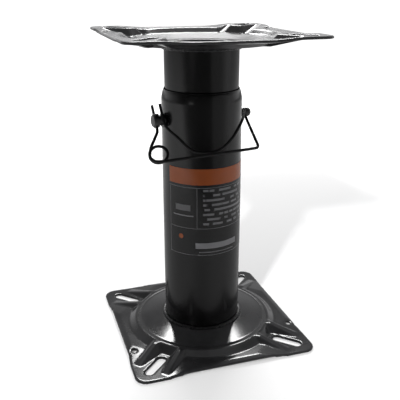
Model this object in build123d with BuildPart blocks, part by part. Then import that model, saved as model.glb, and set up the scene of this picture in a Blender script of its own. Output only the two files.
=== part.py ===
from build123d import *
import math
import os

os.makedirs("parts", exist_ok=True)

# Boat seat pedestal: two pressed square plates on telescoping round columns,
# locked by a cross pin with a spring wire bail. Millimetres, +Z up, +X along
# the front edge of the plates. The origin is the middle of the base plate's
# underside, where the pedestal stands on the deck.

# Driving sizes: the whole pedestal
overall_height = 300.5       # lowest setting, floor to seat face
stroke = 152.4               # lowest to highest setting
setting_pitch = 25.4         # height between two pin settings

# Driving sizes: the pressed plate, used for both ends
plate_side = 179.6           # across the corners' straight edges
plate_waist = 1.6            # how far each edge is drawn in at its middle
waist_half = 44.0            # half length of the drawn-in edge
waist_end = 60.0             # where the edge is back at full width
corner_r = 11.5
sheet = 2.5
panel_rise = 2.5             # panel above the corner pads
rib_rise = 7.3               # top of ring and ribs above the pads
dish_rise = 10.5             # weld seat above the pads
dish_seat_r = 42.0
dish_foot_r = 64.8
dish_foot_rise = 6.8
ring_inner_r = 66.4
ring_outer_r = 69.8
ring_foot_r = 76.5           # where the ring's wall meets the panel
pocket_foot_r = 75.2         # where it meets a pocket's floor
rib_flat_end = 73.0          # along a diagonal, start of the ribs' fall
rib_tip = 103.0
rib_outer_half = 18.5        # ribs' outer edge, off the diagonal
rib_tip_half = 18.0
rib_wall = 38.0              # degrees from upright
pocket_half = 6.0
pocket_tip_half = 11.2
pocket_wall = 37.0
pad_fall_start = 80.0        # panel falls to the pads between these two,
pad_fall_end = 104.0         # measured along a diagonal
lip_half = 42.0
lip_width = 6.9
lip_drop = 1.5
crest_fillet = 1.0
pocket_corner_fillet = 2.0
rib_corner_fillet = 3.0
slot_width = 8.0
slot_length = 29.5           # end to end
slot_reach = 95.5            # slot middle from the centre, on a diagonal
eyelet_d = 5.0
eyelet_x = 82.0
eyelet_y = -40.0
plate_bore = 60.0

# Driving sizes: columns and guides
lower_od = 76.2
lower_wall = 2.0
upper_od = 69.85
upper_wall = 2.0
seat_to_rim = 51.0           # seat face down to the lower column's rim
shoulder = 10.5              # height of the drawn-in mouth
mouth_od = 71.6
guide_clearance = 0.05       # sliding fit at each guide ring
mouth_clearance = 0.35       # drawn-in mouth to the upper column
column_floor_gap = 3.5       # upper column's foot above the weld seat
foot_flange = 2.0            # guide ring under the column's foot
foot_guide_length = 16.0
mouth_guide_length = 14.0
weld_leg = 2.8

# Driving sizes: lock pin and bail
pin_below_rim = 28.2
pin_turn = 7.0               # degrees from +X round to +Y
pin_d = 9.5
pin_hole_clearance = 0.3
pin_flange_d = 13.4
pin_flange_gap = 1.2         # flange to the column's surface
pin_flange_length = 1.2
pin_neck_d = 9.2
pin_neck_length = 4.0
pin_collar_d = 13.0
pin_collar_length = 5.2
pin_groove_d = 4.4
pin_groove_length = 3.0
pin_groove_reach = 44.0      # groove middle from the column's axis
pin_button_d = 8.8
pin_button_length = 7.0
wire_d = 2.3
wire_hole_clearance = 0.075
wire_lean = 32.0             # degrees the wire's ends lean forward
coil_r = 8.0
coil_middle = (-54.3, 26.0, -25.4)    # along the pin, forward, above
coil_face = -25.1            # degrees from the pin to the coil's width
coil_lean = 44.0             # degrees the coil leans back from upright
coil_gap = 0.3               # between two turns

# Driving sizes: label
label_below_rim = 69.5        # rim down to the label's top
label_height = 88.0
label_from = -160.0
label_to = -20.0
label_thickness = 0.2
label_glue = 0.05

# Sizes that follow from those above
pad_top = sheet
panel_top = pad_top + panel_rise
rib_top = pad_top + rib_rise
dish_top = pad_top + dish_rise
dish_foot_top = pad_top + dish_foot_rise
half_side = plate_side / 2
form_depth = 4 * sheet
lower_bore_r = lower_od / 2 - lower_wall
upper_r = upper_od / 2
column_foot = dish_top + column_floor_gap
column_head = overall_height - dish_top
rim_height = overall_height - seat_to_rim
pin_height = rim_height - pin_below_rim
label_top = rim_height - label_below_rim
label_bottom = label_top - label_height
pin_shaft_hole_d = pin_d + 2 * pin_hole_clearance
settings = round(stroke / setting_pitch) + 1

# Plane along the lock pin: its normal runs from the head to the button
turn = math.radians(pin_turn)
pin_dir = (math.cos(turn), math.sin(turn), 0)
pin_front = (math.sin(turn), -math.cos(turn), 0)
pin_plane = Plane(origin=(0, 0, pin_height), x_dir=pin_front, z_dir=pin_dir)


def place(edge):
    """Where an edge's middle is: along and off its diagonal, height, radius."""
    c = edge.center()
    along = (abs(c.X) + abs(c.Y)) / math.sqrt(2)
    off = abs(abs(c.X) - abs(c.Y)) / math.sqrt(2)
    return along, off, c.Z, math.hypot(c.X, c.Y)


def near(value, target, room=0.05):
    return abs(value - target) < room


# One pair of ribs beside a slot: a raised arm along +X that falls to its tip.
# The pocket cut later leaves the two ribs.
rib_foot_half = rib_outer_half + rib_rise * math.tan(math.radians(rib_wall))
rib_fall = math.atan2(rib_rise - 0.05, rib_tip - rib_flat_end)
with BuildPart() as rib_arm:
    with BuildSketch(Plane.XY.offset(pad_top)):
        with BuildLine():
            Polyline(
                (ring_outer_r - 20, -rib_foot_half),
                (ring_outer_r - 10, -rib_foot_half),
                (rib_tip, -rib_tip_half),
                (rib_tip, rib_tip_half),
                (ring_outer_r - 10, rib_foot_half),
                (ring_outer_r - 20, rib_foot_half),
                close=True,
            )
        make_face()
    extrude(amount=rib_rise + 2, taper=rib_wall)
    split(
        bisect_by=Plane(
            origin=(rib_flat_end, 0, rib_top),
            x_dir=(math.cos(rib_fall), 0, -math.sin(rib_fall)),
            z_dir=(math.sin(rib_fall), 0, math.cos(rib_fall)),
        ),
        keep=Keep.BOTTOM,
    )
    split(bisect_by=Plane.XY.offset(rib_top), keep=Keep.BOTTOM)

# The pocket round one slot, with its floor level with the corner pads
pocket_spread = (pocket_tip_half - pocket_half) / (rib_tip - pocket_foot_r)
pocket_in = pocket_foot_r - 3.2
pocket_out = 1.5 * half_side
pocket_in_half = pocket_half + pocket_spread * (pocket_in - pocket_foot_r)
pocket_out_half = pocket_half + pocket_spread * (pocket_out - pocket_foot_r)
with BuildPart() as pocket:
    with BuildSketch(Plane.XY.offset(pad_top)):
        with BuildLine():
            Polyline(
                (pocket_in, -pocket_in_half),
                (pocket_out, -pocket_out_half),
                (pocket_out, pocket_out_half),
                (pocket_in, pocket_in_half),
                close=True,
            )
        make_face()
    extrude(amount=dish_rise + 2, taper=-pocket_wall)

# What is taken off a corner, so that the panel falls gently to its pad
with BuildPart() as corner_fall:
    with BuildSketch(Plane.XZ):
        with BuildLine():
            Polyline(
                (pad_fall_start, panel_top),
                (pad_fall_end, pad_top),
                (2 * half_side, pad_top),
                (2 * half_side, dish_top + 2),
                (pad_fall_start, dish_top + 2),
                close=True,
            )
        make_face()
    extrude(amount=1.3 * half_side, both=True)

# What is taken off one edge, so that its middle turns down as a stiff lip
with BuildPart() as edge_fall:
    with BuildSketch(Plane.YZ):
        with BuildLine():
            Polyline(
                (-half_side + lip_width, panel_top),
                (-half_side - lip_width, panel_top - 2 * lip_drop),
                (-half_side - lip_width, dish_top),
                (-half_side + lip_width, dish_top),
                close=True,
            )
        make_face()
    extrude(amount=lip_half, both=True)

# The plate's upper face as a solid form: panel, pads, lips, ribs, pockets,
# stiffening ring and the dish that the column is welded to
with BuildPart() as form:
    with BuildSketch(Plane.XY.offset(-form_depth)):
        Rectangle(plate_side + 8, plate_side + 8)
    extrude(amount=form_depth + panel_top)
    with PolarLocations(0, 4, start_angle=45):
        add(corner_fall.part, mode=Mode.SUBTRACT)
    with PolarLocations(0, 4):
        add(edge_fall.part, mode=Mode.SUBTRACT)
    with PolarLocations(0, 4, start_angle=45):
        add(rib_arm.part)
    with BuildSketch(Plane.XZ):
        with BuildLine():
            Polyline(
                (0, -form_depth),
                (ring_foot_r, -form_depth),
                (ring_foot_r, panel_top),
                (ring_outer_r, rib_top),
                (0, rib_top),
                close=True,
            )
        make_face()
    revolve(axis=Axis.Z)
    with PolarLocations(0, 4, start_angle=45):
        add(pocket.part, mode=Mode.SUBTRACT)
    with BuildSketch(Plane.XZ):
        with BuildLine():
            Polyline(
                (0, -form_depth),
                (pocket_foot_r, -form_depth),
                (pocket_foot_r, pad_top),
                (ring_outer_r, rib_top),
                (0, rib_top),
                close=True,
            )
        make_face()
    revolve(axis=Axis.Z)
    with BuildSketch(Plane.XZ):
        with BuildLine():
            Polyline(
                (0, pad_top),
                (dish_foot_r, pad_top),
                (dish_foot_r, dish_foot_top),
                (ring_inner_r, rib_top),
                (ring_inner_r, dish_top),
                (0, dish_top),
                close=True,
            )
        make_face()
    revolve(axis=Axis.Z, mode=Mode.SUBTRACT)
    with BuildSketch(Plane.XZ):
        with BuildLine():
            Polyline(
                (0, -form_depth),
                (dish_foot_r, -form_depth),
                (dish_foot_r, dish_foot_top),
                (dish_seat_r, dish_top),
                (0, dish_top),
                close=True,
            )
        make_face()
    revolve(axis=Axis.Z)

    # Upright corners first: pocket wall to ring wall, rib wall to ring wall
    wall_mid = (pad_top + rib_top) / 2
    upright = [
        e
        for e in form.edges()
        if near(place(e)[2], wall_mid, 0.3)
        and place(e)[3] < ring_outer_r + 4
        and place(e)[1] < rib_outer_half / 2
    ]
    fillet(upright, radius=pocket_corner_fillet)
    upright = [
        e
        for e in form.edges()
        if near(place(e)[2], (panel_top + rib_top) / 2, 0.6)
        and ring_outer_r + 2 < place(e)[3] < ring_foot_r
        and near(place(e)[1], rib_outer_half, 1.5)
    ]
    fillet(upright, radius=rib_corner_fillet)

    # The crest: ring, ribs and pockets in one rounded edge
    crest = []
    for e in form.edges():
        along, off, height, radius = place(e)
        on_top = height > rib_top - 0.1 and radius > ring_outer_r - 2
        crease = near(along, rib_flat_end, 0.1) and off < rib_outer_half - 2
        crease = crease and near(height, rib_top) and near(e.length, 5.4, 1.5)
        falling = 78 < along < 92 and wall_mid - 0.3 < height < rib_top - 2.5
        falling = falling and 9 < off < rib_outer_half + 1 and e.length > 15
        if (on_top and not crease) or falling:
            crest.append(e)
    fillet(crest, radius=crest_fillet)

# The pressed plate: the form less the same form one sheet lower, trimmed to
# its outline, with slots on the diagonals, two eyelets and a centre bore
with BuildPart() as base_plate:
    add(form.part)
    with Locations((0, 0, -sheet)):
        add(form.part, mode=Mode.SUBTRACT)
    with BuildSketch(Plane.XY.offset(-form_depth - sheet)) as outline:
        with BuildLine():
            h = half_side
            w = half_side - plate_waist
            Polyline(
                (-h, -h), (-waist_end, -h), (-waist_half, -w), (waist_half, -w),
                (waist_end, -h), (h, -h), (h, -waist_end), (w, -waist_half),
                (w, waist_half), (h, waist_end), (h, h), (waist_end, h),
                (waist_half, w), (-waist_half, w), (-waist_end, h), (-h, h),
                (-h, waist_end), (-w, waist_half), (-w, -waist_half),
                (-h, -waist_end),
                close=True,
            )
        make_face()
        corners = outline.vertices().filter_by(
            lambda v: near(abs(v.X), h) and near(abs(v.Y), h)
        )
        fillet(corners, radius=corner_r)
    extrude(amount=form_depth + sheet + dish_top + 5, mode=Mode.INTERSECT)
    with BuildSketch(Plane.XY.offset(-1)):
        with PolarLocations(slot_reach, 4, start_angle=45):
            SlotOverall(slot_length, slot_width)
        with Locations((eyelet_x, eyelet_y), (-eyelet_x, eyelet_y)):
            Circle(eyelet_d / 2)
        Circle(plate_bore / 2)
    extrude(amount=dish_top + 5, mode=Mode.SUBTRACT)
base_plate.part.label = "base_plate"
export_step(base_plate.part, "parts/base_plate.step")

# The seat plate is the same pressing turned over, dish downwards
with BuildPart() as seat_plate:
    with Locations((0, 0, overall_height)):
        add(base_plate.part, rotation=(180, 0, 0))
seat_plate.part.label = "seat_plate"
export_step(seat_plate.part, "parts/seat_plate.step")

# Lower column: welded steel tube with its mouth drawn in over the guide ring
mouth_bore_r = upper_r + mouth_clearance
mouth_r = mouth_od / 2
lower_r = lower_od / 2
with BuildPart() as lower_column:
    with BuildSketch(Plane.XZ):
        with BuildLine():
            Polyline(
                (mouth_bore_r, rim_height),
                (mouth_bore_r, rim_height - 1.4),
                (lower_bore_r, rim_height - 3.4),
                (lower_bore_r, dish_top),
                (lower_r, dish_top),
                (lower_r, rim_height - shoulder),
            )
            Spline(
                (lower_r, rim_height - shoulder),
                (lower_r - 0.75, rim_height - shoulder * 0.55),
                (mouth_r, rim_height - 1.2),
                tangents=((0, 1), (-0.75, 1)),
            )
            Polyline(
                (mouth_r, rim_height - 1.2),
                (mouth_r - 0.15, rim_height - 0.4),
                (mouth_bore_r, rim_height),
            )
        make_face()
    revolve(axis=Axis.Z)
    with BuildSketch(pin_plane):
        Circle(pin_shaft_hole_d / 2)
    extrude(amount=lower_od, both=True, mode=Mode.SUBTRACT)
lower_column.part.label = "lower_column"
export_step(lower_column.part, "parts/lower_column.step")

# Weld bead round the foot of the lower column
with BuildPart() as base_weld:
    with BuildSketch(Plane.XZ):
        with BuildLine():
            Line((lower_r, dish_top), (lower_r + weld_leg, dish_top))
            ThreePointArc(
                (lower_r + weld_leg, dish_top),
                (lower_r + weld_leg * 0.6, dish_top + weld_leg * 0.6),
                (lower_r, dish_top + weld_leg),
            )
            Line((lower_r, dish_top + weld_leg), (lower_r, dish_top))
        make_face()
    revolve(axis=Axis.Z)
base_weld.part.label = "base_weld"
export_step(base_weld.part, "parts/base_weld.step")

# Guide ring pressed into the lower column, under the drawn-in mouth
guide_top = rim_height - 4.0
with BuildPart() as mouth_bushing:
    with BuildSketch(Plane.XZ):
        with BuildLine():
            Polyline(
                (upper_r + guide_clearance, guide_top - mouth_guide_length),
                (lower_bore_r, guide_top - mouth_guide_length),
                (lower_bore_r, guide_top),
                (upper_r + guide_clearance, guide_top),
                close=True,
            )
        make_face()
    revolve(axis=Axis.Z)
    chamfer(
        mouth_bushing.edges().filter_by(GeomType.CIRCLE).group_by(
            SortBy.RADIUS)[0],
        length=0.4,
    )
mouth_bushing.part.label = "mouth_bushing"
export_step(mouth_bushing.part, "parts/mouth_bushing.step")

# Upper column: tube with a row of through holes, one pair for each setting
upper_bore_r = upper_r - upper_wall
with BuildPart() as upper_column:
    with BuildSketch(Plane.XY.offset(column_foot)):
        Circle(upper_r)
        Circle(upper_bore_r, mode=Mode.SUBTRACT)
    extrude(amount=column_head - column_foot)
    for step in range(settings):
        hole_plane = Plane(
            origin=(0, 0, pin_height - step * setting_pitch),
            x_dir=pin_front,
            z_dir=pin_dir,
        )
        with BuildSketch(hole_plane):
            Circle(pin_shaft_hole_d / 2)
        extrude(amount=upper_od, both=True, mode=Mode.SUBTRACT)
upper_column.part.label = "upper_column"
export_step(upper_column.part, "parts/upper_column.step")

# Weld bead between the upper column and the seat plate
with BuildPart() as seat_weld:
    with BuildSketch(Plane.XZ):
        with BuildLine():
            Line((upper_r, column_head), (upper_r + weld_leg, column_head))
            ThreePointArc(
                (upper_r + weld_leg, column_head),
                (upper_r + weld_leg * 0.6, column_head - weld_leg * 0.6),
                (upper_r, column_head - weld_leg),
            )
            Line((upper_r, column_head - weld_leg), (upper_r, column_head))
        make_face()
    revolve(axis=Axis.Z)
seat_weld.part.label = "seat_weld"
export_step(seat_weld.part, "parts/seat_weld.step")

# Guide ring on the foot of the upper column, with a flange under the tube
foot_guide_r = lower_bore_r - guide_clearance
with BuildPart() as foot_bushing:
    with BuildSketch(Plane.XZ):
        with BuildLine():
            Polyline(
                (upper_bore_r, column_foot - foot_flange),
                (foot_guide_r, column_foot - foot_flange),
                (foot_guide_r, column_foot - foot_flange + foot_guide_length),
                (upper_r, column_foot - foot_flange + foot_guide_length),
                (upper_r, column_foot),
                (upper_bore_r, column_foot),
                close=True,
            )
        make_face()
    revolve(axis=Axis.Z)
foot_bushing.part.label = "foot_bushing"
export_step(foot_bushing.part, "parts/foot_bushing.step")

# Label wrapped round the front of the lower column
with BuildPart() as label:
    with BuildSketch(Plane.XY.offset(label_bottom)):
        with BuildLine():
            label_span = label_to - label_from
            label_in = lower_r + label_glue
            label_out = label_in + label_thickness
            inner = CenterArc((0, 0), label_in, label_from, label_span)
            outer = CenterArc((0, 0), label_out, label_from, label_span)
            Line(outer @ 0, inner @ 0)
            Line(outer @ 1, inner @ 1)
        make_face()
    extrude(amount=label_top - label_bottom)
label.part.label = "label"
export_step(label.part, "parts/label.step")

# Lock pin, turned in one piece: collar, neck, flange, shaft, groove, button.
# Stations are distances along the pin from the column's axis.
flange_in = -(lower_r + pin_flange_gap)
flange_out = flange_in - pin_flange_length
neck_out = flange_out - pin_neck_length
collar_out = neck_out - pin_collar_length
wire_station = neck_out - pin_collar_length / 2
groove_in = pin_groove_reach - pin_groove_length / 2
groove_out = pin_groove_reach + pin_groove_length / 2
button_out = groove_out + pin_button_length
lean = math.radians(wire_lean)
wire_dir = (
    -math.sin(lean) * pin_front[0],
    -math.sin(lean) * pin_front[1],
    math.cos(lean),
)
wire_plane = Plane(
    origin=(
        wire_station * pin_dir[0],
        wire_station * pin_dir[1],
        pin_height,
    ),
    x_dir=pin_dir,
    z_dir=wire_dir,
)
pin_section = Plane(origin=(0, 0, pin_height), x_dir=pin_dir,
                    z_dir=pin_front)
with BuildPart() as lock_pin:
    with BuildSketch(pin_section):
        with BuildLine():
            Polyline(
                (collar_out, 0),
                (collar_out, pin_collar_d / 2 - 1.2),
                (collar_out + 1.2, pin_collar_d / 2),
                (neck_out, pin_collar_d / 2),
                (neck_out, pin_neck_d / 2),
                (flange_out, pin_neck_d / 2),
                (flange_out, pin_flange_d / 2),
                (flange_in, pin_flange_d / 2),
                (flange_in, pin_d / 2),
                (groove_in, pin_d / 2),
                (groove_in, pin_groove_d / 2),
                (groove_out, pin_groove_d / 2),
                (groove_out, pin_button_d / 2),
                (groove_out + pin_button_length * 0.45, pin_button_d / 2),
            )
            ThreePointArc(
                (groove_out + pin_button_length * 0.45, pin_button_d / 2),
                (groove_out + pin_button_length * 0.86, pin_button_d * 0.36),
                (button_out, pin_button_d * 0.12),
            )
            Polyline(
                (button_out, pin_button_d * 0.12),
                (button_out, 0),
                (collar_out, 0),
            )
        make_face()
    revolve(axis=Axis(origin=(0, 0, pin_height), direction=pin_dir))
    with BuildSketch(wire_plane):
        Circle(wire_d / 2 + wire_hole_clearance)
    extrude(amount=pin_collar_d, both=True, mode=Mode.SUBTRACT)
lock_pin.part.label = "lock_pin"
export_step(lock_pin.part, "parts/lock_pin.step")

# Bail: one spring wire. Its outer end turns in the collar, one coil gives it
# spring, the front run crosses the column, the bight lies in the pin's groove
# and the inner leg comes back across the column to the pin's neck.
# Points are along the pin, forward of it, and above it.
neck_wire_off = pin_neck_d / 2 + wire_d / 2 + 1.55
inner_station = (flange_out + neck_out) / 2 + 0.4


def leaning(station, off, along_wire):
    """A point beside the pin, off its axis and along the wire's ends."""
    forward = off * math.cos(lean) - along_wire * math.sin(lean)
    above = off * math.sin(lean) + along_wire * math.cos(lean)
    return (station, forward, above)


def on_coil(turned, reach):
    """A point of the coil, so far round it from its right, counted over its
    top, and so far from its middle."""
    face = math.radians(coil_face)
    back = math.radians(coil_lean)
    round_it = math.radians(turned)
    width = Vector(math.cos(face), -math.sin(face), 0)
    front = Vector(math.sin(face), math.cos(face), 0)
    rise = front * -math.sin(back) + Vector(0, 0, math.cos(back))
    axis = front * math.cos(back) + Vector(0, 0, math.sin(back))
    advance = (turned - 180) / 360 * (wire_d + coil_gap)
    point = Vector(*coil_middle) + axis * advance
    point += (width * math.cos(round_it) + rise * math.sin(round_it)) * reach
    return point


# The coil takes one turn and a quarter, from its left to its foot, through
# the corners of an eight-sided path that the fillets make round
coil_corner = coil_r / math.cos(math.radians(22.5))
coil_in = on_coil(180, coil_r)
coil_in_run = (on_coil(180, coil_r) - on_coil(202.5, coil_corner)) * 1.9
coil_out = on_coil(630, coil_r)
coil_out_run = (on_coil(630, coil_r) - on_coil(607.5, coil_corner)) * 1.6
coil_points = [on_coil(202.5 + 45 * i, coil_corner) for i in range(10)]
bight = pin_groove_reach
groove_off = pin_groove_d / 2 + wire_d / 2 + 0.95
bail_points = [
    leaning(wire_station, 0, 15.0),
    leaning(wire_station, 0, -pin_collar_d / 2 - 4.0),
    tuple(coil_in + coil_in_run),
    *[tuple(point) for point in coil_points],
    tuple(coil_out + coil_out_run),
    (-17.2, 43.2, -25.9),
    (40.6, 40.0, -25.7),
    (bight + 0.3, 7.5, -4.5),
    (bight, groove_off, 0.0),
    (bight, groove_off, 5.0),
    (bight - 4.2, 11.5, 2.2),
    (27.6, 30.0, -1.3),
    (12.2, 39.6, -14.4),
    (-3.0, 42.2, -24.6),
    (-24.5, 34.2, -24.6),
    (-34.2, 22.5, -12.2),
    leaning(inner_station, neck_wire_off, -9.0),
    leaning(inner_station, neck_wire_off, 13.0),
]
bail_radii = []
for i in range(1, len(bail_points) - 1):
    before = Vector(*bail_points[i]) - Vector(*bail_points[i - 1])
    after = Vector(*bail_points[i + 1]) - Vector(*bail_points[i])
    half_turn = math.radians(before.get_angle(after)) / 2
    shorter = min(before.length, after.length)
    bail_radii.append(min(0.45 * shorter / math.tan(half_turn), 40.0))
bail_radii[0] = 3.5 * wire_d
bail_radii[14] = 2.0 * wire_d


def world(point):
    """From along-pin, forward, above to the part's frame."""
    s, f, a = point
    return (
        s * pin_dir[0] + f * pin_front[0],
        s * pin_dir[1] + f * pin_front[1],
        pin_height + a,
    )


with BuildPart() as bail_wire:
    with BuildLine() as bail_path:
        FilletPolyline(*[world(p) for p in bail_points], radius=bail_radii)
    with BuildSketch(Plane(origin=bail_path.line @ 0,
                           z_dir=bail_path.line % 0)):
        Circle(wire_d / 2)
    sweep()
bail_wire.part.label = "bail_wire"
export_step(bail_wire.part, "parts/bail_wire.step")
path_length = sum(e.length for e in bail_path.line.edges())
print("bail length", round(path_length, 1), "volume",
      round(bail_wire.part.volume, 1), "expected",
      round(path_length * math.pi * wire_d ** 2 / 4, 1))
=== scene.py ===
import math

import bpy
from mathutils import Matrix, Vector, noise


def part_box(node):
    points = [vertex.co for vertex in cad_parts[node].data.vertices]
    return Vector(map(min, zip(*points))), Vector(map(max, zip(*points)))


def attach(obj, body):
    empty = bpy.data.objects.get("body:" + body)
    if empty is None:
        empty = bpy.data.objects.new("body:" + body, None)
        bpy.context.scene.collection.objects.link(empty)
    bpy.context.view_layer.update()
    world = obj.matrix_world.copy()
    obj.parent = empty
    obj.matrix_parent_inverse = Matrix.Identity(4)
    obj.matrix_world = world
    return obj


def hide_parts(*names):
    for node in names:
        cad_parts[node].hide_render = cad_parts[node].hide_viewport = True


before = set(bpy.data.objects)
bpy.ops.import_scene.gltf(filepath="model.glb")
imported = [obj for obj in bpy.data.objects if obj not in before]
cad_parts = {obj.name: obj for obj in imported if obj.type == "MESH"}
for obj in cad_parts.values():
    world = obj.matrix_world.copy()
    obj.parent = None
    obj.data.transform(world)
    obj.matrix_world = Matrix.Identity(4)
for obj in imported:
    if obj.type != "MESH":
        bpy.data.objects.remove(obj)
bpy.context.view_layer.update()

# Camera and studio
# A white table, seen from the front left and above. A key lamp throws the
# shadow to the back right, a long lamp behind draws the highlights on the
# pressings, and a soft fill lamp lifts the dark sides of both plates.
camera_data = bpy.data.cameras.new("camera")
camera = bpy.data.objects.new("camera", camera_data)
bpy.context.scene.collection.objects.link(camera)
camera.location = (-0.17514, -0.53851, 0.34300)
camera.rotation_euler = (math.radians(71.0317), 0, math.radians(-18.0921))
camera_data.sensor_width = 36
camera_data.lens = 54.386
camera_data.shift_x = -0.0061
camera_data.shift_y = -0.0282
camera_data.clip_start = 0.01
bpy.context.scene.camera = camera
bpy.context.scene.view_settings.view_transform = "Standard"


def new_material(name):
    """An empty node material with its output node."""
    material = bpy.data.materials.new(name)
    material.use_nodes = True
    material.node_tree.nodes.clear()
    output = material.node_tree.nodes.new("ShaderNodeOutputMaterial")
    return material, material.node_tree, output


def add_node(tree, kind, **values):
    """A node with its inputs set by name, and its properties by name."""
    node = tree.nodes.new(kind)
    for key, value in values.items():
        if key in node.inputs:
            node.inputs[key].default_value = value
        else:
            setattr(node, key, value)
    return node


def maths(tree, operation, second=None, third=None):
    """A sum whose second and third values may be fixed."""
    node = add_node(tree, "ShaderNodeMath", operation=operation)
    for place, value in ((1, second), (2, third)):
        if value is not None:
            node.inputs[place].default_value = value
    return node


def value_range(tree, low, high, to_low=0.0, to_high=1.0):
    """Carries the values from low to high over to another range."""
    node = tree.nodes.new("ShaderNodeMapRange")
    node.inputs["From Min"].default_value = low
    node.inputs["From Max"].default_value = high
    node.inputs["To Min"].default_value = to_low
    node.inputs["To Max"].default_value = to_high
    return node


def colour_ramp(tree, first, last, *others):
    """A ramp through stops, each a place and a red, green and blue."""
    node = tree.nodes.new("ShaderNodeValToRGB")
    stops = node.color_ramp.elements
    for stop, (place, colour) in zip(stops, (first, last)):
        stop.position = place
        stop.color = (*colour, 1)
    for place, colour in others:
        stops.new(place).color = (*colour, 1)
    return node


def join(tree, *pairs):
    for source, target in pairs:
        tree.links.new(source, target)


def plain_select(piece):
    """Leaves only this object selected and active."""
    bpy.ops.object.select_all(action="DESELECT")
    piece.select_set(True)
    bpy.context.view_layer.objects.active = piece


table_front = -0.42
table_reach = 24
table_gap = 0.0003
bpy.ops.object.select_all(action="DESELECT")
bpy.ops.mesh.primitive_plane_add(size=1)
floor = bpy.context.object
floor.name = "table_top"
for vertex in floor.data.vertices:
    near = vertex.co.y < 0
    vertex.co = (
        vertex.co.x * table_reach,
        table_front if near else table_reach,
        -table_gap)

# The camera sees the table glow a little, more so further out, so that it
# runs into a white background. The shadow of the object stays on it.
table_white, tree, output = new_material("table_white")
light_path = tree.nodes.new("ShaderNodeLightPath")
matt = tree.nodes.new("ShaderNodeBsdfDiffuse")
glow = add_node(tree, "ShaderNodeEmission", Color=(1, 1, 1, 1))
where = tree.nodes.new("ShaderNodeTexCoord")
reach = add_node(tree, "ShaderNodeVectorMath", operation="LENGTH")
fade = value_range(tree, 0.42, 1.40, 0.205, 0.95)
fade.interpolation_type = "SMOOTHSTEP"
glow_strength = maths(tree, "MULTIPLY")
# In reflections only, the table is painted darker near the object, 0.4 rising
# to 0.8 further out: painted shade in what the glossy pieces mirror.
reflected_shade = value_range(tree, 0.35, 0.95, 0.40, 0.80)
tone = add_node(tree, "ShaderNodeMix", data_type="FLOAT")
tone.inputs["A"].default_value = 0.8
both = tree.nodes.new("ShaderNodeAddShader")
join(
    tree,
    (where.outputs["Object"], reach.inputs[0]),
    (reach.outputs["Value"], fade.inputs["Value"]),
    (reach.outputs["Value"], reflected_shade.inputs["Value"]),
    (light_path.outputs["Is Glossy Ray"], tone.inputs["Factor"]),
    (reflected_shade.outputs["Result"], tone.inputs["B"]),
    (tone.outputs["Result"], matt.inputs["Color"]),
    (light_path.outputs["Is Camera Ray"], glow_strength.inputs[0]),
    (fade.outputs["Result"], glow_strength.inputs[1]),
    (glow_strength.outputs[0], glow.inputs["Strength"]),
    (matt.outputs[0], both.inputs[0]),
    (glow.outputs[0], both.inputs[1]),
    (both.outputs[0], output.inputs["Surface"]),
)
floor.data.materials.append(table_white)

# The room is bright behind and dark in front, dim halfway up, and has a
# bright ceiling and one pale card to the front right.
world = bpy.data.worlds.new("studio")
bpy.context.scene.world = world
world.use_nodes = True
tree = world.node_tree
tree.nodes.clear()
world_output = tree.nodes.new("ShaderNodeOutputWorld")
direction = tree.nodes.new("ShaderNodeTexCoord")
parts = tree.nodes.new("ShaderNodeSeparateXYZ")
toward_back = add_node(tree, "ShaderNodeVectorMath", operation="DOT_PRODUCT")
toward_back.inputs[1].default_value = (0.31, 0.95, 0.0)
half_scale = maths(tree, "MULTIPLY_ADD", 0.5, 0.5)
back_ramp = colour_ramp(
    tree, (0.25, (0.045, 0.045, 0.045)), (0.75, (0.85, 0.85, 0.86)))
dim = (0.33, 0.33, 0.33)
high_ramp = colour_ramp(
    tree, (0.12, (1, 1, 1)), (0.48, dim), (0.78, dim), (0.95, (1, 1, 1)))
shade = add_node(
    tree, "ShaderNodeMix", data_type="RGBA", blend_type="MULTIPLY")
shade.inputs["Factor"].default_value = 1
toward_card = add_node(tree, "ShaderNodeVectorMath", operation="DOT_PRODUCT")
toward_card.inputs[1].default_value = (0.643, -0.766, 0.0)
card = value_range(tree, 0.845, 0.875, 0.0, 0.20)
lit = add_node(tree, "ShaderNodeMix", data_type="RGBA", blend_type="ADD")
lit.inputs["Factor"].default_value = 1
room = tree.nodes.new("ShaderNodeBackground")
white = add_node(
    tree, "ShaderNodeBackground", Color=(1, 1, 1, 1), Strength=1)
light_path = tree.nodes.new("ShaderNodeLightPath")
seen = tree.nodes.new("ShaderNodeMixShader")
join(
    tree,
    (direction.outputs["Generated"], parts.inputs[0]),
    (direction.outputs["Generated"], toward_back.inputs[0]),
    (toward_back.outputs["Value"], half_scale.inputs[0]),
    (half_scale.outputs[0], back_ramp.inputs["Fac"]),
    (parts.outputs["Z"], high_ramp.inputs["Fac"]),
    (back_ramp.outputs["Color"], shade.inputs["A"]),
    (high_ramp.outputs["Color"], shade.inputs["B"]),
    (direction.outputs["Generated"], toward_card.inputs[0]),
    (toward_card.outputs["Value"], card.inputs["Value"]),
    (shade.outputs["Result"], lit.inputs["A"]),
    (card.outputs["Result"], lit.inputs["B"]),
    (lit.outputs["Result"], room.inputs["Color"]),
    (light_path.outputs["Is Camera Ray"], seen.inputs["Fac"]),
    (room.outputs[0], seen.inputs[1]),
    (white.outputs[0], seen.inputs[2]),
    (seen.outputs[0], world_output.inputs["Surface"]),
)


def soft_lamp(name, place, aim, size, power, lit_pieces=None):
    """A rectangular studio lamp at a place, turned to face its aim."""
    data = bpy.data.lights.new(name, "AREA")
    data.shape = "RECTANGLE"
    data.size, data.size_y = size
    data.energy = power
    lamp = bpy.data.objects.new(name, data)
    bpy.context.scene.collection.objects.link(lamp)
    lamp.location = place
    facing = Vector(aim) - Vector(place)
    lamp.rotation_euler = facing.to_track_quat("-Z", "Y").to_euler()
    if lit_pieces is not None:
        lamp.light_linking.receiver_collection = lit_pieces
    return lamp


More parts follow.
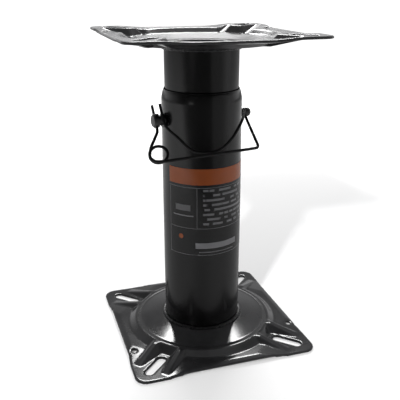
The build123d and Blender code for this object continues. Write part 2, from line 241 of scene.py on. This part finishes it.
lit_by_key = bpy.data.collections.new("lit_by_key")
lit_by_key.objects.link(floor)
lit_by_fill = bpy.data.collections.new("lit_by_fill")
key_lamp = soft_lamp(
    "key_lamp", (-1.053, -1.347, 1.385), (0, 0, 0.1), (0.11, 0.11), 35,
    lit_by_key)
key_lamp.visible_glossy = False
glint_lamp = soft_lamp(
    "glint_lamp", (-1.60, -1.50, 0.36), (0, 0, 0.24), (0.30, 0.30), 0.5)
glint_lamp.visible_diffuse = False
strip_lamp = soft_lamp(
    "strip_lamp", (0.231, 0.71, 0.587), (0, 0, 0.3), (0.30, 0.07), 0.24)
strip_lamp.visible_diffuse = False
strip_lamp.visible_camera = False
soft_lamp("back_lamp", (0.32, 0.99, 1.12), (0, 0, 0.05), (0.64, 0.22), 13)
fill_lamp = soft_lamp(
    "fill_lamp", (-0.55, -1.25, 0.95), (0, 0, 0), (0.80, 0.60), 15,
    lit_by_fill)
fill_lamp.visible_glossy = False

# Black paint
# Every metal piece is dipped or powder sprayed in one black gloss paint. It
# is a little uneven, finely pitted like orange peel, and duller in patches.
# Some pieces get a lighter copy of it: painted light for sides the lamps
# leave too dark.


def black_paint(
        name, peel, rough_low, rough_high,
        grain=(1, 1, 1), ior=1.5, painted_lift=1.0):
    """Near-black gloss paint with uneven gloss and a fine orange peel."""
    material, tree, output = new_material(name)
    paint = add_node(tree, "ShaderNodeBsdfPrincipled", IOR=ior)
    where = tree.nodes.new("ShaderNodeTexCoord")
    stretch = tree.nodes.new("ShaderNodeMapping")
    stretch.inputs["Scale"].default_value = grain
    cloud = add_node(tree, "ShaderNodeTexNoise", Scale=28.0, Detail=4.0)
    cloud.inputs["Roughness"].default_value = 0.55
    # A lift above 1 makes this copy of the paint lighter: painted light,
    # standing in for light the lamps don't bring to the piece.
    dark = (0.0072 * painted_lift, 0.0072 * painted_lift, 0.0075 * painted_lift)
    pale = (0.0125 * painted_lift, 0.0125 * painted_lift, 0.0130 * painted_lift)
    tone = colour_ramp(tree, (0.35, dark), (0.68, pale))
    gloss = value_range(tree, 0.3, 0.7, rough_low, rough_high)
    fine = add_node(tree, "ShaderNodeTexNoise", Scale=520.0, Detail=2.0)
    swell = add_node(tree, "ShaderNodeTexNoise", Scale=90.0, Detail=2.0)
    peel_mix = maths(tree, "MULTIPLY_ADD", 0.35)
    bump = add_node(tree, "ShaderNodeBump", Strength=peel, Distance=0.0004)
    join(
        tree,
        (where.outputs["Object"], stretch.inputs["Vector"]),
        (stretch.outputs[0], cloud.inputs["Vector"]),
        (where.outputs["Object"], fine.inputs["Vector"]),
        (where.outputs["Object"], swell.inputs["Vector"]),
        (cloud.outputs["Fac"], tone.inputs["Fac"]),
        (cloud.outputs["Fac"], gloss.inputs["Value"]),
        (tone.outputs["Color"], paint.inputs["Base Color"]),
        (gloss.outputs["Result"], paint.inputs["Roughness"]),
        (fine.outputs["Fac"], peel_mix.inputs[0]),
        (swell.outputs["Fac"], peel_mix.inputs[2]),
        (peel_mix.outputs[0], bump.inputs["Height"]),
        (bump.outputs["Normal"], paint.inputs["Normal"]),
        (paint.outputs[0], output.inputs["Surface"]),
    )
    return material


def give_material(piece, material):
    piece.data.materials.clear()
    piece.data.materials.append(material)
    for face in piece.data.polygons:
        face.material_index = 0


# Base plate
# A square steel pressing with a slot and two ribs in each corner, a ring and
# a raised dish in the middle. The sheet bends softly at every line of it.
# The base plate's paint is lifted 2.6 times: painted light that brightens its
# dark front sides.
pressing_paint = black_paint("pressing_paint", 0.018, 0.115, 0.165, painted_lift=2.6)


def copy_of_node(node, name):
    """A merged copy of a CAD node's mesh, as a piece of its own."""
    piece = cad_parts[node].copy()
    piece.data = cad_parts[node].data.copy()
    piece.name = name
    bpy.context.scene.collection.objects.link(piece)
    plain_select(piece)
    bpy.ops.mesh.customdata_custom_splitnormals_clear()
    bpy.ops.object.mode_set(mode="EDIT")
    bpy.ops.mesh.select_all(action="SELECT")
    bpy.ops.mesh.remove_doubles(threshold=2e-6)
    bpy.ops.object.mode_set(mode="OBJECT")
    return piece


def pressed_sheet(node, name, body, paint):
    """The pressing with soft bends: the node's form, remeshed and eased."""
    piece = copy_of_node(node, name)
    remesh = piece.modifiers.new("even_grid", "REMESH")
    remesh.mode = "VOXEL"
    remesh.voxel_size = 0.00092
    remesh.use_smooth_shade = True
    bpy.ops.object.modifier_apply(modifier=remesh.name)
    ease = piece.modifiers.new("soft_bends", "SMOOTH")
    ease.factor = 0.5
    ease.iterations = 5
    bpy.ops.object.modifier_apply(modifier=ease.name)
    bpy.ops.object.shade_smooth()
    give_material(piece, paint)
    lit_by_fill.objects.link(piece)
    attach(piece, body)
    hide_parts(node)


pressed_sheet("base_plate", "base_pressing", "base", pressing_paint)

# Weld at the base
# One pass of weld joins the lower column to the dish. Its ripples and small
# lumps show through the paint.
lower_column_radius = 0.0381
weld_leg = 0.0027
# The weld's paint is lifted 2 times: painted light.
weld_paint = black_paint("weld_paint", 0.16, 0.20, 0.32, painted_lift=2.0)


def weld_bead(name, node, body, radius, height, side):
    """A rippled bead in the corner between a column and a plate."""
    bead_radius = radius + weld_leg * 0.36
    bead_height = height + side * weld_leg * 0.36
    bpy.ops.object.select_all(action="DESELECT")
    bpy.ops.mesh.primitive_torus_add(
        major_segments=320, minor_segments=14,
        major_radius=bead_radius, minor_radius=weld_leg * 0.62,
        location=(0, 0, bead_height))
    bead = bpy.context.object
    bead.name = name
    plain_select(bead)
    bpy.ops.object.transform_apply(location=True, rotation=True, scale=True)
    for vertex in bead.data.vertices:
        around = math.atan2(vertex.co.y, vertex.co.x)
        ring = Vector((math.cos(around), math.sin(around), 0))
        middle = ring * bead_radius
        middle.z = bead_height
        lump = noise.noise(Vector((ring.x * 7, ring.y * 7, side)))
        ripple = math.sin(around * 62 + 3 * lump)
        size = 1 + 0.13 * ripple + 0.26 * lump
        vertex.co = middle + (vertex.co - middle) * size
    bpy.ops.object.shade_smooth()
    give_material(bead, weld_paint)
    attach(bead, body)
    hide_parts(node)


dish_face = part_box("base_weld")[0][2]
weld_bead(
    "base_bead", "base_weld", "base", lower_column_radius, dish_face, 1)

# Lower column
# A welded steel tube whose mouth is drawn in a little over the guide ring.
# The paint runs smooth down its side. A thin line at the edge of the mouth
# is painted dark and dull: painted shade for the shadowed gap round the upper
# column.
along_tube = (1, 1, 0.25)
rim_edge = 0.2493
column_paint = black_paint("column_paint", 0.035, 0.17, 0.25, along_tube)
tree = column_paint.node_tree
paint = next(n for n in tree.nodes if n.type == "BSDF_PRINCIPLED")
where = tree.nodes.new("ShaderNodeTexCoord")
parts = tree.nodes.new("ShaderNodeSeparateXYZ")
from_edge = maths(tree, "SUBTRACT", rim_edge)
away = maths(tree, "ABSOLUTE")
# Within about a millimetre of the rim edge the colour is painted near black
# and the specular level drops to nothing: painted shade for the gap at the
# mouth.
gap_shade_mask = value_range(tree, 0.0009, 0.0005)
gap_shade_specular = value_range(tree, 0.0005, 0.0009, 0.0, 0.5)
painted_gap_shade = add_node(tree, "ShaderNodeMix", data_type="RGBA")
painted_gap_shade.inputs["B"].default_value = (0.002, 0.002, 0.002, 1)
join(
    tree,
    (where.outputs["Object"], parts.inputs[0]),
    (parts.outputs["Z"], from_edge.inputs[0]),
    (from_edge.outputs[0], away.inputs[0]),
    (away.outputs[0], gap_shade_mask.inputs["Value"]),
    (away.outputs[0], gap_shade_specular.inputs["Value"]),
    (gap_shade_mask.outputs["Result"], painted_gap_shade.inputs["Factor"]),
    (paint.inputs["Base Color"].links[0].from_socket, painted_gap_shade.inputs["A"]),
    (painted_gap_shade.outputs["Result"], paint.inputs["Base Color"]),
    (gap_shade_specular.outputs["Result"], paint.inputs["Specular IOR Level"]),
)
give_material(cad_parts["lower_column"], column_paint)

# Mouth guide ring
# A plastic ring pressed into the mouth, just under its edge. It keeps the
# upper column central.
guide_plastic = black_paint("guide_plastic", 0.05, 0.45, 0.6)
give_material(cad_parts["mouth_bushing"], guide_plastic)

# Label
# A thin printed film wrapped round the front of the lower column. Here it has
# only fields of colour: a band, a frame, a dot and rows of plain bars.
label_film, tree, output = new_material("label_film")
film = add_node(tree, "ShaderNodeBsdfPrincipled", IOR=1.5, Roughness=0.22)
where = tree.nodes.new("ShaderNodeTexCoord")
parts = tree.nodes.new("ShaderNodeSeparateXYZ")
turn = maths(tree, "ARCTAN2")
degrees = maths(tree, "MULTIPLY", 180 / math.pi)
height = maths(tree, "MULTIPLY", 1000)
join(
    tree,
    (where.outputs["Object"], parts.inputs[0]),
    (parts.outputs["Y"], turn.inputs[0]),
    (parts.outputs["X"], turn.inputs[1]),
    (turn.outputs[0], degrees.inputs[0]),
    (parts.outputs["Z"], height.inputs[0]),
)


def between(socket, low, high, soft):
    """1 where a value lies between low and high, with soft edges."""
    half = (high - low) / 2
    middle = maths(tree, "SUBTRACT", (low + high) / 2)
    away = maths(tree, "ABSOLUTE")
    edge = value_range(tree, half + soft, half - soft)
    join(
        tree,
        (socket, middle.inputs[0]),
        (middle.outputs[0], away.inputs[0]),
        (away.outputs[0], edge.inputs["Value"]),
    )
    return edge.outputs["Result"]


def field(turn_low, turn_high, low, high):
    """1 in a rectangle, in degrees round the film and millimetres up."""
    both = maths(tree, "MULTIPLY")
    join(
        tree,
        (between(degrees.outputs[0], turn_low, turn_high, 0.15),
         both.inputs[0]),
        (between(height.outputs[0], low, high, 0.1), both.inputs[1]),
    )
    return both.outputs[0]


def bar_rows(turn_low, turn_high, low, high, pitch, gap_scale):
    """Rows of plain bars of uneven length inside a rectangle."""
    row = maths(tree, "DIVIDE", pitch)
    row_number = maths(tree, "FLOOR")
    in_row = maths(tree, "FRACT")
    spread = maths(tree, "MULTIPLY", 23.7)
    place = tree.nodes.new("ShaderNodeCombineXYZ")
    breaks = add_node(tree, "ShaderNodeTexNoise", Scale=gap_scale, Detail=0.0)
    solid = value_range(tree, 0.42, 0.47)
    first = maths(tree, "MULTIPLY")
    second = maths(tree, "MULTIPLY")
    join(
        tree,
        (height.outputs[0], row.inputs[0]),
        (row.outputs[0], row_number.inputs[0]),
        (row.outputs[0], in_row.inputs[0]),
        (degrees.outputs[0], place.inputs["X"]),
        (row_number.outputs[0], spread.inputs[0]),
        (spread.outputs[0], place.inputs["Y"]),
        (place.outputs[0], breaks.inputs["Vector"]),
        (breaks.outputs["Fac"], solid.inputs["Value"]),
        (between(in_row.outputs[0], 0.28, 0.74, 0.04), first.inputs[0]),
        (solid.outputs["Result"], first.inputs[1]),
        (first.outputs[0], second.inputs[0]),
        (field(turn_low, turn_high, low, high), second.inputs[1]),
    )
    return second.outputs[0]


def round_dot(turn_middle, middle, radius):
    """1 in a disc of a radius in millimetres round a place on the film."""
    mm_per_degree = 0.667
    across = maths(tree, "SUBTRACT", turn_middle)
    across_mm = maths(tree, "MULTIPLY", mm_per_degree)
    up = maths(tree, "SUBTRACT", middle)
    from_dot = tree.nodes.new("ShaderNodeCombineXYZ")
    dot_reach = add_node(tree, "ShaderNodeVectorMath", operation="LENGTH")
    join(
        tree,
        (degrees.outputs[0], across.inputs[0]),
        (across.outputs[0], across_mm.inputs[0]),
        (height.outputs[0], up.inputs[0]),
        (across_mm.outputs[0], from_dot.inputs["X"]),
        (up.outputs[0], from_dot.inputs["Y"]),
        (from_dot.outputs[0], dot_reach.inputs[0]),
    )
    return between(dot_reach.outputs["Value"], -radius, radius, 0.2)


def print_on(colour, ink, mask, strength):
    """A print colour laid over what is there, where the mask is 1."""
    lay = add_node(tree, "ShaderNodeMix", data_type="RGBA")
    lay.inputs["B"].default_value = ink
    part = maths(tree, "MULTIPLY", strength)
    join(
        tree,
        (mask, part.inputs[0]),
        (part.outputs[0], lay.inputs["Factor"]),
        (colour, lay.inputs["A"]),
    )
    return lay.outputs["Result"]


ground = add_node(tree, "ShaderNodeTexNoise", Scale=60.0, Detail=3.0)
ground_tone = colour_ramp(
    tree, (0, (0.0085, 0.0085, 0.0088)), (1, (0.0115, 0.0115, 0.0118)))
join(
    tree,
    (where.outputs["Object"], ground.inputs["Vector"]),
    (ground.outputs["Fac"], ground_tone.inputs["Fac"]),
)
grey = (0.33, 0.33, 0.345, 1)
orange = (0.41, 0.096, 0.022, 1)
colour = ground_tone.outputs["Color"]
for ink, strength, mask in (
    (orange, 1.0, field(-160, -20, 164.6, 181)),
    (grey, 0.6, field(-160, -20, 161.6, 162.1)),
    (grey, 0.6, field(-158.4, -20, 120.9, 121.4)),
    (grey, 0.6, field(-158.8, -20, 93.6, 94.1)),
    (grey, 0.6, field(-158.8, -158.1, 93.6, 162)),
    (grey, 0.5, field(-115.0, -114.2, 121, 162)),
    (grey, 0.62, bar_rows(-106, -24, 122.5, 160.6, 4.75, 0.11)),
    (grey, 0.8, field(-152, -120, 133, 134.2)),
    (grey, 0.45, field(-148, -124, 138.5, 144.5)),
    (grey, 0.85, field(-117, -50, 100.6, 106.4)),
    (grey, 0.5, field(-112, -56, 96.4, 97.5)),
    (orange, 1.0, round_dot(-139.0, 112.0, 2.5)),
):
    colour = print_on(colour, ink, mask, strength)
join(
    tree,
    (colour, film.inputs["Base Color"]),
    (film.outputs[0], output.inputs["Surface"]),
)
give_material(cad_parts["label"], label_film)

# Upper column
# A plain steel tube that slides in the lower one. The lock pin passes through
# one of its pairs of holes.
upper_column_radius = 0.034925
tube_paint = black_paint("tube_paint", 0.035, 0.17, 0.25, along_tube)
give_material(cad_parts["upper_column"], tube_paint)

# Foot guide ring
# A plastic ring on the upper column's foot, with a flange under the tube. It
# fills the lower column's bore.
give_material(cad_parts["foot_bushing"], guide_plastic)

# Seat plate
# The same pressing as the base plate, turned over, so that its dish is sunk
# and takes the seat's swivel or bolts. It is welded to the upper column.
# The seat plate's paint is lifted 2.3 times: painted light on its dark sides.
seat_paint = black_paint("seat_paint", 0.022, 0.19, 0.24, painted_lift=2.3)
pressed_sheet("seat_plate", "seat_pressing", "column", seat_paint)
seat_dish_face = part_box("seat_weld")[1][2]
weld_bead(
    "seat_bead", "seat_weld", "column",
    upper_column_radius, seat_dish_face, -1)

# Lock pin
# Turned from steel bar: a collar outside the column on the left, a neck and
# flange, the shaft through both columns, and a grooved button on the right.
pin_paint = black_paint("pin_paint", 0.06, 0.26, 0.36, ior=1.75)
give_material(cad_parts["lock_pin"], pin_paint)

# Bail
# One spring wire. It turns in the pin's collar, makes one coil, crosses the
# column's front, lies in the pin's groove and comes back to the pin's neck.
coat_depth = 0.0002
# The wire's paint is lifted 3 times: painted light, so the wire reads lighter
# against the column.
wire_paint = black_paint("wire_paint", 0.03, 0.42, 0.52, ior=1.2, painted_lift=3.0)
bail = copy_of_node("bail_wire", "bail")
coat = bail.modifiers.new("coat", "DISPLACE")
coat.strength = coat_depth
coat.mid_level = 0.0
bpy.ops.object.modifier_apply(modifier=coat.name)
bpy.ops.object.shade_smooth_by_angle(angle=math.radians(35))
give_material(bail, wire_paint)
bail.visible_glossy = False
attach(bail, "bail")
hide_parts("bail_wire")
